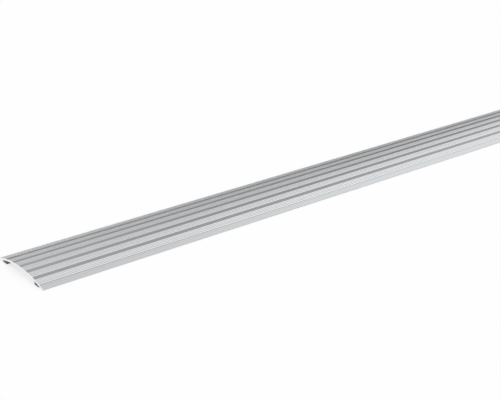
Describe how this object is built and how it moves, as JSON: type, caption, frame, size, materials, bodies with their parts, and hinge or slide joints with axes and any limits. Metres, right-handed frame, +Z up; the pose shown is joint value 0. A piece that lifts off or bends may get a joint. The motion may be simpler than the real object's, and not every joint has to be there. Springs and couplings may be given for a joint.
{
  "type": "threshold strip",
  "caption": "Self-adhesive domed aluminium threshold strip with lengthwise grooves and fine ribs, foam tape under each long edge and peel-off release liners.",
  "frame": {"origin": "middle of the footprint, on the underside of the release liners", "axes": "+X along the strip's length (along the doorway), +Y across it to the rear edge, +Z up through the crown"},
  "size_m": [0.9, 0.04, 0.0039],
  "materials": {
    "cover": "satin silver anodised, ribbed along its length, saw-cut ends",
    "foam": "matt closed-cell foam, dark grey",
    "glue": "clear to pale yellow acrylic pressure-sensitive adhesive film",
    "liner": "siliconised off-white paper"
  },
  "bodies": {
    "strip": {"cover_profile": "cover", "front_upper_glue": "glue", "front_foam_tape": "foam", "front_lower_glue": "glue", "rear_upper_glue": "glue", "rear_foam_tape": "foam", "rear_lower_glue": "glue"},
    "front_liner": {"front_release_liner": "liner"},
    "rear_liner": {"rear_release_liner": "liner"}
  },
  "joints": [
    {"name": "front_liner_peel", "type": "slide", "parent": "strip", "child": "front_liner", "axis": [0, -1, 0], "range_m": [0, 0.02]},
    {"name": "rear_liner_peel", "type": "slide", "parent": "strip", "child": "rear_liner", "axis": [0, 1, 0], "range_m": [0, 0.02]}
  ]
}
